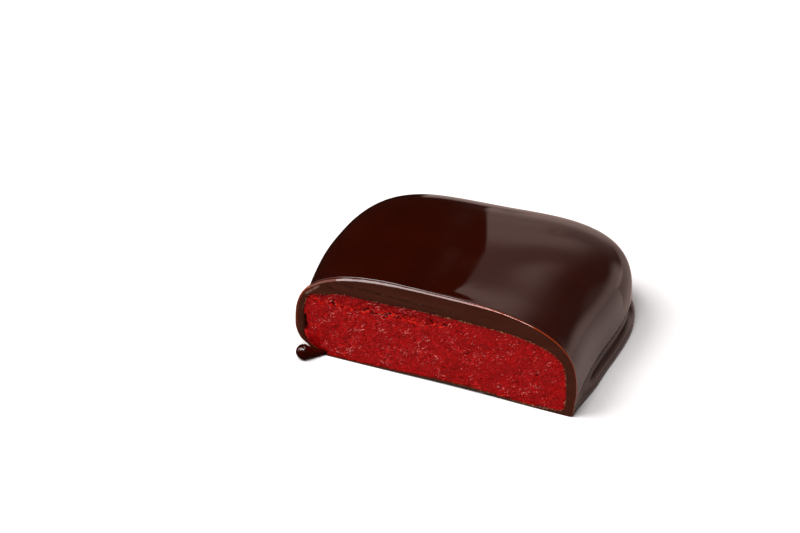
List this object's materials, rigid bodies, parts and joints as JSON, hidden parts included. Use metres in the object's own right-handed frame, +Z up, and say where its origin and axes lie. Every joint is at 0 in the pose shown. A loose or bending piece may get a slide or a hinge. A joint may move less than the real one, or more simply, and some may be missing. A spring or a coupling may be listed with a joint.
{
  "type": "chocolate coated cherry toffee half",
  "caption": "Half of a chocolate-coated cherry toffee as cut: dark glossy shell with a thin foot around a red chewy centre, standing flat with the cut face to the front",
  "frame": {"origin": "middle of the bounding box, on the surface that the sweet stands on", "axes": "+X along the width of the cut face, +Y from the cut face to the rounded back, +Z up; the cut face looks along -Y"},
  "size_m": [0.0336, 0.0268, 0.0119],
  "materials": {
    "chocolate": "glossy dark chocolate, matte where cut",
    "centre": "moist red toffee with a broken fibrous face"
  },
  "bodies": {
    "root": {"chocolate_shell": "chocolate", "cherry_centre": "centre"}
  },
  "joints": []
}
